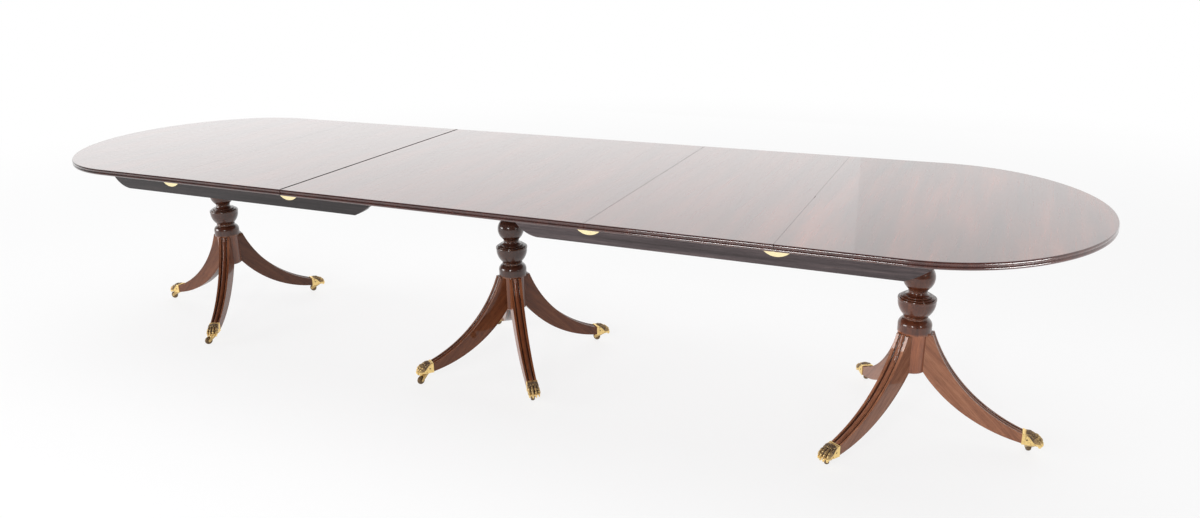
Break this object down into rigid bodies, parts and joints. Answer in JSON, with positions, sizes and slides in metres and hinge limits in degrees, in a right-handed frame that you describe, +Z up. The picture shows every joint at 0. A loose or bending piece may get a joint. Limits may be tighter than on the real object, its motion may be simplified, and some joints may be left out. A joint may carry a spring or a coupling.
{
  "type": "pedestal dining table",
  "caption": "Long dining table with rounded ends: a sectional reeded-edge top on turned pedestals with swept sabre legs, brass paw caps and castors; sections slide apart on leaf rails.",
  "frame": {"origin": "on the floor under the middle of the table", "axes": "+Z up, +X along the table's length, -Y towards the viewer"},
  "size_m": [3.7398, 1.068, 0.74],
  "materials": {
    "top_wood": "high-gloss French polish",
    "base_wood": "gloss French polish",
    "rail_wood": "satin, dark stained",
    "brass": "cast and polished, patinated in the hollows",
    "wheel_brass": "worn, dark patina"
  },
  "bodies": {
    "centre_section": {"centre_top": "top_wood", "centre_bearers": "rail_wood", "centre_block": "rail_wood", "centre_column": "base_wood", "centre_leg_front_left": "base_wood", "centre_paw_front_left": "brass", "centre_leg_front_right": "base_wood", "centre_paw_front_right": "brass", "centre_leg_back_right": "base_wood", "centre_paw_back_right": "brass", "centre_leg_back_left": "base_wood", "centre_paw_back_left": "brass"},
    "left_leaf_unit": {"left_leaf": "top_wood", "left_front_rail": "rail_wood", "left_back_rail": "rail_wood", "left_clips": "brass"},
    "left_end_section": {"left_end_top": "top_wood", "left_end_bearer": "rail_wood", "left_block": "rail_wood", "left_column": "base_wood", "left_leg_outer": "base_wood", "left_paw_outer": "brass", "left_leg_front": "base_wood", "left_paw_front": "brass", "left_leg_back": "base_wood", "left_paw_back": "brass"},
    "right_leaf_unit": {"right_leaf": "top_wood", "right_front_rail": "rail_wood", "right_back_rail": "rail_wood", "right_clips": "brass"},
    "right_end_section": {"right_end_top": "top_wood", "right_end_bearer": "rail_wood", "right_block": "rail_wood", "right_column": "base_wood", "right_leg_outer": "base_wood", "right_paw_outer": "brass", "right_leg_front": "base_wood", "right_paw_front": "brass", "right_leg_back": "base_wood", "right_paw_back": "brass"},
    "left_castor_outer": {"left_fork_outer": "brass"},
    "left_castor_wheel_outer": {"left_wheel_outer": "wheel_brass"},
    "left_castor_front": {"left_fork_front": "brass"},
    "left_castor_wheel_front": {"left_wheel_front": "wheel_brass"},
    "left_castor_back": {"left_fork_back": "brass"},
    "left_castor_wheel_back": {"left_wheel_back": "wheel_brass"},
    "centre_castor_front_left": {"centre_fork_front_left": "brass"},
    "centre_castor_wheel_front_left": {"centre_wheel_front_left": "wheel_brass"},
    "centre_castor_front_right": {"centre_fork_front_right": "brass"},
    "centre_castor_wheel_front_right": {"centre_wheel_front_right": "wheel_brass"},
    "centre_castor_back_right": {"centre_fork_back_right": "brass"},
    "centre_castor_wheel_back_right": {"centre_wheel_back_right": "wheel_brass"},
    "centre_castor_back_left": {"centre_fork_back_left": "brass"},
    "centre_castor_wheel_back_left": {"centre_wheel_back_left": "wheel_brass"},
    "right_castor_outer": {"right_fork_outer": "brass"},
    "right_castor_wheel_outer": {"right_wheel_outer": "wheel_brass"},
    "right_castor_front": {"right_fork_front": "brass"},
    "right_castor_wheel_front": {"right_wheel_front": "wheel_brass"},
    "right_castor_back": {"right_fork_back": "brass"},
    "right_castor_wheel_back": {"right_wheel_back": "wheel_brass"}
  },
  "joints": [
    {"name": "left_leaf_slide", "type": "slide", "parent": "centre_section", "child": "left_leaf_unit", "axis": [-1, 0, 0], "range_m": [0, 0.12]},
    {"name": "left_end_slide", "type": "slide", "parent": "left_leaf_unit", "child": "left_end_section", "axis": [-1, 0, 0], "range_m": [0, 0.12]},
    {"name": "right_leaf_slide", "type": "slide", "parent": "centre_section", "child": "right_leaf_unit", "axis": [1, 0, 0], "range_m": [0, 0.12]},
    {"name": "right_end_slide", "type": "slide", "parent": "right_leaf_unit", "child": "right_end_section", "axis": [1, 0, 0], "range_m": [0, 0.12]},
    {"name": "left_swivel_outer", "type": "hinge", "parent": "left_end_section", "child": "left_castor_outer", "pos_m": [-1.736, 0, 0.0363], "axis": [0, 0, 1], "continuous": true},
    {"name": "left_roll_outer", "type": "hinge", "parent": "left_castor_outer", "child": "left_castor_wheel_outer", "pos_m": [-1.75991, -0.00209, 0.015], "axis": [0.0872, -0.9962, 0], "continuous": true},
    {"name": "left_swivel_front", "type": "hinge", "parent": "left_end_section", "child": "left_castor_front", "pos_m": [-1.205, -0.30657, 0.0363], "axis": [0, 0, 1], "continuous": true},
    {"name": "left_roll_front", "type": "hinge", "parent": "left_castor_front", "child": "left_castor_wheel_front", "pos_m": [-1.21321, -0.32913, 0.015], "axis": [0.9397, -0.342, 0], "continuous": true},
    {"name": "left_swivel_back", "type": "hinge", "parent": "left_end_section", "child": "left_castor_back", "pos_m": [-1.205, 0.30657, 0.0363], "axis": [0, 0, 1], "continuous": true},
    {"name": "left_roll_back", "type": "hinge", "parent": "left_castor_back", "child": "left_castor_wheel_back", "pos_m": [-1.22891, 0.30448, 0.015], "axis": [0.0872, -0.9962, 0], "continuous": true},
    {"name": "centre_swivel_front_left", "type": "hinge", "parent": "centre_section", "child": "centre_castor_front_left", "pos_m": [-0.21794, -0.27896, 0.0363], "axis": [0, 0, 1], "continuous": true},
    {"name": "centre_roll_front_left", "type": "hinge", "parent": "centre_castor_front_left", "child": "centre_castor_wheel_front_left", "pos_m": [-0.22211, -0.30259, 0.015], "axis": [0.9848, -0.1736, 0], "continuous": true},
    {"name": "centre_swivel_front_right", "type": "hinge", "parent": "centre_section", "child": "centre_castor_front_right", "pos_m": [0.21794, -0.27896, 0.0363], "axis": [0, 0, 1], "continuous": true},
    {"name": "centre_roll_front_right", "type": "hinge", "parent": "centre_castor_front_right", "child": "centre_castor_wheel_front_right", "pos_m": [0.20317, -0.26004, 0.015], "axis": [-0.788, -0.6157, 0], "continuous": true},
    {"name": "centre_swivel_back_right", "type": "hinge", "parent": "centre_section", "child": "centre_castor_back_right", "pos_m": [0.21794, 0.27896, 0.0363], "axis": [0, 0, 1], "continuous": true},
    {"name": "centre_roll_back_right", "type": "hinge", "parent": "centre_castor_back_right", "child": "centre_castor_wheel_back_right", "pos_m": [0.19512, 0.28637, 0.015], "axis": [-0.309, -0.9511, 0], "continuous": true},
    {"name": "centre_swivel_back_left", "type": "hinge", "parent": "centre_section", "child": "centre_castor_back_left", "pos_m": [-0.21794, 0.27896, 0.0363], "axis": [0, 0, 1], "continuous": true},
    {"name": "centre_roll_back_left", "type": "hinge", "parent": "centre_castor_back_left", "child": "centre_castor_wheel_back_left", "pos_m": [-0.24158, 0.27479, 0.015], "axis": [0.1736, -0.9848, 0], "continuous": true},
    {"name": "right_swivel_outer", "type": "hinge", "parent": "right_end_section", "child": "right_castor_outer", "pos_m": [1.736, 0, 0.0363], "axis": [0, 0, 1], "continuous": true},
    {"name": "right_roll_outer", "type": "hinge", "parent": "right_castor_outer", "child": "right_castor_wheel_outer", "pos_m": [1.72979, 0.02318, 0.015], "axis": [-0.9659, -0.2588, 0], "continuous": true},
    {"name": "right_swivel_front", "type": "hinge", "parent": "right_end_section", "child": "right_castor_front", "pos_m": [1.205, -0.30657, 0.0363], "axis": [0, 0, 1], "continuous": true},
    {"name": "right_roll_front", "type": "hinge", "parent": "right_castor_front", "child": "right_castor_wheel_front", "pos_m": [1.19601, -0.28432, 0.015], "axis": [-0.9272, -0.3746, 0], "continuous": true},
    {"name": "right_swivel_back", "type": "hinge", "parent": "right_end_section", "child": "right_castor_back", "pos_m": [1.205, 0.30657, 0.0363], "axis": [0, 0, 1], "continuous": true},
    {"name": "right_roll_back", "type": "hinge", "parent": "right_castor_back", "child": "right_castor_wheel_back", "pos_m": [1.21121, 0.32976, 0.015], "axis": [-0.9659, 0.2588, 0], "continuous": true}
  ]
}
